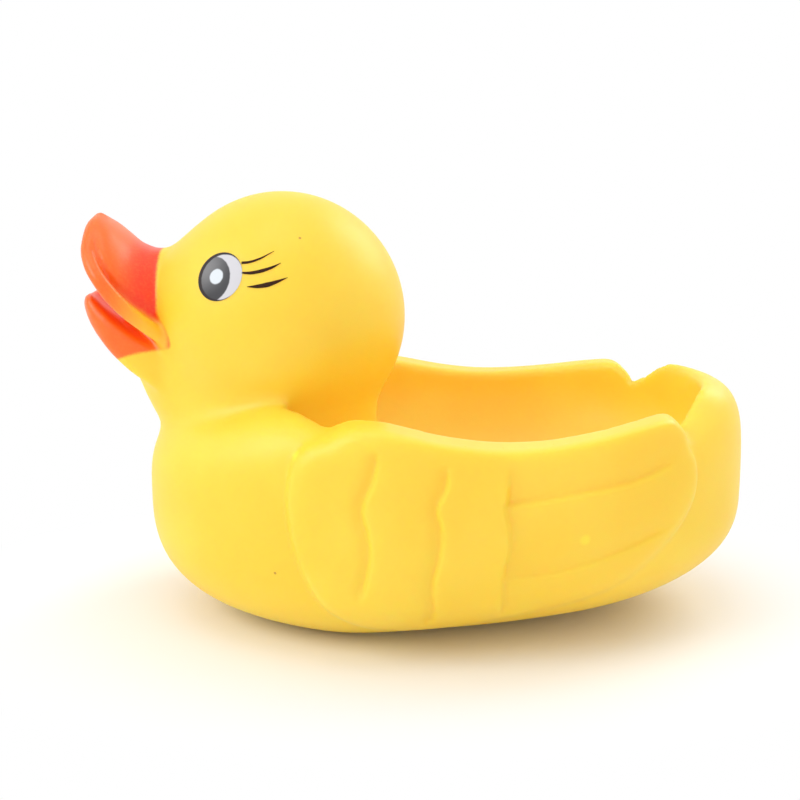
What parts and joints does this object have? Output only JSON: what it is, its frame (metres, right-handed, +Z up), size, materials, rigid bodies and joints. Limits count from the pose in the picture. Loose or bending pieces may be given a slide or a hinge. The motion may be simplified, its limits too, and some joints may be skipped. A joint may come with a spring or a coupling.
{
  "type": "rubber duck",
  "caption": "Squeaking bath duck in soft hollow vinyl, with raised wings, an upturned open bill and an open nest hollow in its back.",
  "frame": {"origin": "middle of the duck's length and width, on the surface it stands on", "axes": "-X towards the bill, +X towards the tail, +Y towards the duck's right side, +Z up"},
  "size_m": [0.1611, 0.103, 0.1025],
  "materials": {
    "yellow_vinyl": "soft satin vinyl; bill painted orange, eyes and lashes painted",
    "white_plastic": "moulded",
    "ivory_plastic": "moulded",
    "ivory_plastic_plain": "moulded",
    "clear_film": "thin film"
  },
  "bodies": {
    "root": {"duck_body": "yellow_vinyl", "whistle_housing": "white_plastic", "whistle_plug_channelled": "ivory_plastic", "whistle_plug_plain": "ivory_plastic_plain", "whistle_reed": "clear_film"}
  },
  "joints": []
}
